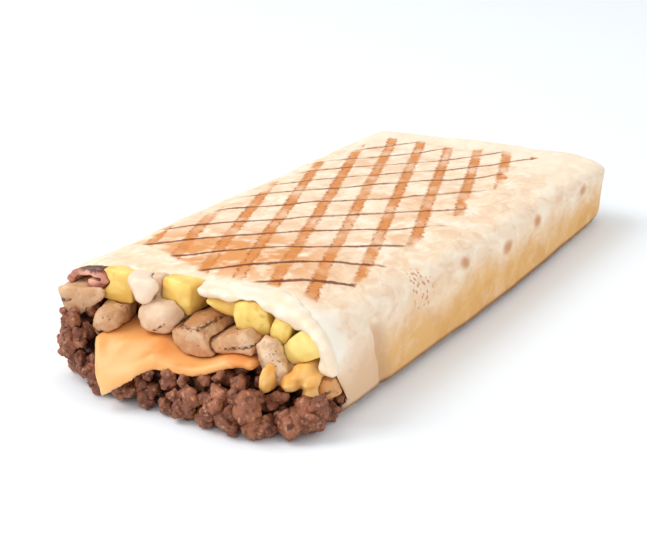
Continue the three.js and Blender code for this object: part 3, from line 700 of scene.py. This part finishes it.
def chicken_finish(name, light, deep, pores, browning, lines):
    meat = Finish(name)
    fibres = meat.clouds(2.2, 4, stretch=(1, 0.3, 1.4), shift=8)
    colour = meat.blend(meat.ease(meat.clouds(5, 3), 0.35, 0.65), light, deep)
    colour = meat.blend(meat.ease(fibres, 0.5, 0.72, 0.0, 0.5), colour, light)
    colour = meat.blend(meat.ease(meat.facing("Z"), 0.3, 0.8, 0.0, browning), colour, BROWNED)
    holes = meat.ease(meat.cells(1.4, shift=4), 0.1, 0.26, 1.0, 0.0)
    holes = meat.times(holes, meat.ease(meat.clouds(4, 2, shift=12), 0.44, 0.58), pores)
    colour = meat.blend(meat.times(holes, 0.85), colour, PORE_BROWN)
    for start, end, half_width in lines:
        broken = meat.ease(meat.clouds(1.2, 2, shift=27), 0.38, 0.52, 0.25, 0.9)
        colour = meat.blend(meat.times(streak(meat, start, end, half_width), broken), colour, CHAR)
    meat.set(base_color=colour, roughness=meat.ease(meat.clouds(3, 2), 0.3, 0.7, 0.4, 0.58))
    meat.set(specular_ior_level=0.45)
    meat.soften(0.18, (1.0, 0.6, 0.4), 1.4)
    meat.relief(fibres, 0.5, 0.5)
    meat.relief(meat.math("SUBTRACT", 1.0, holes), 0.35, 0.7)
    return meat.material


for node, looks in CHICKEN_LOOKS.items():
    smoothing = PALE_CHUNK_SMOOTHING if node == "chicken_middle" else CHICKEN_SMOOTHING
    chunk = refined(node, "meat_" + node, CHICKEN_GRAIN, smoothing)
    for size, depth in CHICKEN_DENTS:
        dented(chunk, size, depth)
    smooth_shaded(chunk)
    chunk.data.materials.append(chicken_finish("cooked_" + node, *looks))
    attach(chunk, "root")
    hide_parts(node)

# ---- the fried potato ----
# Short cut pieces of fried potato, about 12 mm thick, golden and a little greasy, with worn edges. They lie
# on the chicken, close under the sheet, from the left shoulder to the right corner.
POTATO_GRAIN = 0.5 * MM
POTATO_DENTS = (6 * MM, 0.7 * MM)  # size and depth
POTATO_LIGHT = paint(247, 218, 126)
POTATO_DEEP = paint(239, 194, 98)
POTATO_PALE = paint(251, 228, 142)
POTATO_BROWN = paint(214, 160, 78)
# For each piece: its two colours and how browned it is.
POTATO_LOOKS = {
    "potato_top_left": (POTATO_LIGHT, POTATO_DEEP, 0.15),
    "potato_top_middle": (POTATO_LIGHT, POTATO_DEEP, 0.1),
    "potato_wedge": (POTATO_LIGHT, POTATO_DEEP, 0.3),
    "potato_right": (POTATO_LIGHT, POTATO_DEEP, 0.75),
    "potato_small": (POTATO_LIGHT, POTATO_DEEP, 0.4),
    "potato_corner": (POTATO_PALE, POTATO_LIGHT, 0.1),
}


def potato_finish(name, light, deep, browning):
    crust = Finish(name)
    colour = crust.blend(crust.ease(crust.clouds(6, 3), 0.35, 0.65), light, deep)
    browned = crust.ease(crust.clouds(3.2, 3, shift=6), 0.5, 0.68, 0.0, browning)
    colour = crust.blend(browned, colour, POTATO_BROWN)
    crust.set(base_color=colour, roughness=crust.ease(crust.clouds(3, 2), 0.3, 0.7, 0.32, 0.5))
    crust.set(specular_ior_level=0.4)
    crust.soften(0.2, (1.0, 0.75, 0.4), 1.6)
    crust.relief(crust.clouds(1.6, 3), 0.25, 0.45)
    return crust.material


for node, looks in POTATO_LOOKS.items():
    chunk = refined(node, "fried_" + node, POTATO_GRAIN, smoothing=5)
    dented(chunk, *POTATO_DENTS)
    smooth_shaded(chunk)
    chunk.data.materials.append(potato_finish("golden_" + node, *looks))
    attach(chunk, "root")
    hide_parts(node)

# ---- the bacon ----
# One rasher of cooked bacon, folded on itself and tucked in under the sheet's left shoulder. The lean meat is
# pink, with a dark crisp rim along the top.
BACON_GRAIN = 0.4 * MM
BACON_DENTS = (3 * MM, 1.0 * MM)  # size and depth
PINK_SPOT = (-37.0, -95.0, 31.6)
PINK_RADIUS = 5.2
BACON_BROWN = paint(150, 84, 64)
BACON_ROSE = paint(196, 130, 108)
BACON_PINK = paint(242, 182, 158)
BACON_RIM = paint(70, 34, 24)


def bacon_finish():
    rasher = Finish("cooked_bacon")
    streaks = rasher.clouds(3, 3, stretch=(0.5, 0.25, 1.6))
    colour = rasher.blend(rasher.ease(streaks, 0.35, 0.6), BACON_BROWN, BACON_ROSE)
    pink = rasher.near(PINK_SPOT, PINK_RADIUS, 0.6, (1, 0.3, 1.2))
    colour = rasher.blend(rasher.times(pink, 0.9), colour, BACON_PINK)
    ragged = rasher.ease(rasher.clouds(3, 3, shift=5), 0.2, 0.8, -1.2, 1.2)
    height = rasher.math("ADD", rasher.axis("Z"), ragged)
    colour = rasher.blend(rasher.ease(height, 32.4, 33.6, 0.0, 0.9), colour, BACON_RIM)
    rasher.set(base_color=colour, roughness=0.4, specular_ior_level=0.5)
    rasher.soften(0.12, (1.0, 0.4, 0.3), 1.0)
    rasher.relief(rasher.clouds(1.8, 3), 0.4, 0.6)
    return rasher.material


bacon = refined("bacon", "folded_bacon_rasher", BACON_GRAIN, smoothing=4)
dented(bacon, *BACON_DENTS)
smooth_shaded(bacon)
bacon.data.materials.append(bacon_finish())
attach(bacon, "root")
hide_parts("bacon")

# ---- the melted cheese ----
# Grated orange cheese, melted by the heat of the filling and run together. It shows as a small drop and as a
# thick lobe that bulges out of the right corner.
MELTED_GRAIN = 0.4 * MM
MELTED_ORANGE = paint(234, 172, 84)
MELTED_PALE = paint(250, 202, 126)


def melted_finish():
    cheese = Finish("melted_cheese")
    colour = cheese.blend(cheese.ease(cheese.clouds(5, 2), 0.35, 0.65), MELTED_ORANGE, MELTED_PALE)
    cheese.set(base_color=colour, roughness=0.28, specular_ior_level=0.5)
    cheese.soften(0.3, (1.0, 0.6, 0.25), 2.0)
    return cheese.material


melted = melted_finish()
for node in ("melted_drop", "melted_lobe"):
    lump = refined(node, "soft_" + node, MELTED_GRAIN, smoothing=14)
    smooth_shaded(lump)
    lump.data.materials.append(melted)
    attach(lump, "root")
    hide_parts(node)

# ---- the white cheese sauce ----
# Thick white cheese sauce, poured between and over the chunks. It runs out over the sheet's edge in a thin
# bead and drips down in front of the right wall. Deeper in, below the sheet's rim, it is painted dark brown
# as painted shade for the gaps between the chunks.
SAUCE_GRAIN = 0.75 * MM
SAUCE_WHITE = paint(250, 236, 216)
SAUCE_CREAM = paint(242, 220, 192)
SAUCE_DULL = paint(236, 212, 188)
# painted shade for the gaps between the chunks
SAUCE_PAINTED_SHADE = paint(126, 78, 50)
# Lumps of sauce, each with its middle and its half sizes. Millimetres.
OVER_PALE_CHUNK = (
    ((-18.2, -98.4, 32.6), (3.4, 2.6, 2.6)),
    ((-16.4, -99.2, 29.4), (3.2, 2.4, 2.6)),
    ((-14.4, -98.2, 32.4), (2.8, 2.4, 2.8)),
)
BEAD_ON_EDGE = (
    ((1.6, -90.8, 33.2), (3.4, 2.6, 1.7)),
    ((6.5, -91.2, 33.8), (4.4, 3.4, 2.3)),
    ((11.0, -91.6, 33.9), (3.8, 3.4, 2.2)),
    ((14.8, -91.2, 34.0), (3.8, 2.8, 1.6)),
    ((19.5, -91.0, 34.4), (4.2, 2.6, 1.4)),
    ((24.5, -91.8, 34.1), (4.2, 3.2, 2.0)),
    ((29.0, -93.8, 33.1), (4.0, 3.6, 2.6)),
    ((33.5, -96.0, 31.6), (3.8, 3.4, 2.4)),
    ((37.6, -97.6, 29.8), (3.0, 3.0, 2.2)),
)
DRIP = (
    ((40.6, -98.2, 27.6), (2.4, 2.6, 2.4)),
    ((42.6, -98.2, 24.6), (2.0, 2.4, 3.0)),
    ((43.8, -97.8, 21.2), (1.9, 2.4, 3.0)),
    ((44.4, -97.6, 18.0), (2.1, 2.4, 2.4)),
)


def sauce_finish():
    cream = Finish("cheese_sauce")
    colour = cream.blend(cream.ease(cream.clouds(7, 3), 0.35, 0.65), SAUCE_WHITE, SAUCE_CREAM)
    colour = cream.blend(cream.ease(cream.axis("X"), -10, -13), colour, SAUCE_DULL)
    # Painted shade: dark brown where the sauce lies deeper in, below the rim and left of the drip.
    depth = cream.math("ADD", cream.axis("Y"), cream.ease(cream.clouds(4, 2, shift=15), 0.2, 0.8, -1.0, 1.0))
    below_rim = cream.ease(cream.axis("Z"), 32, 29.5, 0.0, 1.0)
    left_of_drip = cream.ease(cream.axis("X"), 36, 33, 0.0, 1.0)
    painted_gap_shade = cream.times(cream.ease(depth, -94.5, -91.5), cream.times(below_rim, left_of_drip))
    colour = cream.blend(painted_gap_shade, colour, SAUCE_PAINTED_SHADE)
    cream.set(base_color=colour, roughness=0.36, specular_ior_level=0.45)
    cream.soften(0.3, (1.0, 0.75, 0.5), 2.2)
    cream.relief(cream.clouds(4, 3), 0.3, 0.4)
    return cream.material


sauce = copied_solid("cheese_sauce", "white_cheese_sauce")
lumps = []
for spot, sizes in OVER_PALE_CHUNK + BEAD_ON_EDGE + DRIP:
    deselect_all()
    bpy.ops.mesh.primitive_ico_sphere_add(subdivisions=3, radius=MM, location=Vector(spot) * MM, scale=sizes)
    lumps.append(bpy.context.object)
for lump in lumps:
    lump.select_set(True)
sauce.select_set(True)
bpy.context.view_layer.objects.active = sauce
bpy.ops.object.join()
shaped(sauce, "REMESH", mode="VOXEL", voxel_size=SAUCE_GRAIN)
shaped(sauce, "SMOOTH", factor=0.6, iterations=12)
smooth_shaded(sauce)
sauce.data.materials.append(sauce_finish())
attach(sauce, "root")
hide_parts("cheese_sauce")

# ---- floor, light and camera ----
# The part lies on a plain white floor, in soft daylight from the upper left with weak fills from the front
# and the right. The camera looks down over the right corner of the cut end. Metres, but for the lens.
FLOOR_SIDE = 6.0
FLOOR_WHITE = paint(246, 251, 255)
FLOOR_PALE = paint(245, 250, 254)
ROOM_LIGHT = 0.73
LOOK_AT = Vector((-0.020024, 0.017297, 0.0))
AZIMUTH = math.radians(28.233)
ELEVATION = math.radians(20.0)
DISTANCE = 0.59881
LENS = 94.59
SENSOR = 36.0
CLIP_START = 0.01

deselect_all()
bpy.ops.mesh.primitive_plane_add(size=FLOOR_SIDE)
floor = bpy.context.object
floor.name = "table_top"
table = Finish("white_table")
table.set(base_color=table.blend(table.clouds(300, 2), FLOOR_WHITE, FLOOR_PALE), roughness=0.7)
floor.data.materials.append(table.material)
floor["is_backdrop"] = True


def soft_light(name, spot, size, power):
    """A large square white light that faces the part."""
    deselect_all()
    bpy.ops.object.light_add(type="AREA", location=spot)
    light = bpy.context.object
    light.name = name
    light.data.size = size
    light.data.energy = power
    light.rotation_euler = (-Vector(spot)).to_track_quat("-Z", "Y").to_euler()


soft_light("window", (-0.75, -0.35, 0.95), 0.8, 8.6)
soft_light("front_fill", (0.15, -1.2, 0.6), 1.0, 3.0)
soft_light("right_fill", (1.2, -0.35, 0.5), 1.0, 1.6)
world = bpy.data.worlds.new("room_light")
world.use_nodes = True
world.node_tree.nodes["Background"].inputs["Color"].default_value = (1.0, 1.0, 1.0, 1.0)
world.node_tree.nodes["Background"].inputs["Strength"].default_value = ROOM_LIGHT
bpy.context.scene.world = world
bpy.context.scene.view_settings.view_transform = "Standard"

sideways = math.cos(ELEVATION)
back = Vector((math.sin(AZIMUTH) * sideways, -math.cos(AZIMUTH) * sideways, math.sin(ELEVATION)))
bpy.ops.object.camera_add(location=LOOK_AT + back * DISTANCE)
camera = bpy.context.object
camera.name = "viewpoint"
camera.rotation_euler = back.to_track_quat("Z", "Y").to_euler()
camera.data.lens = LENS
camera.data.sensor_width = SENSOR
camera.data.clip_start = CLIP_START
bpy.context.scene.camera = camera

sizes = {"solids": [list(corner) for corner in solids_box], "pieces": [list(corner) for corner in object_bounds()]}
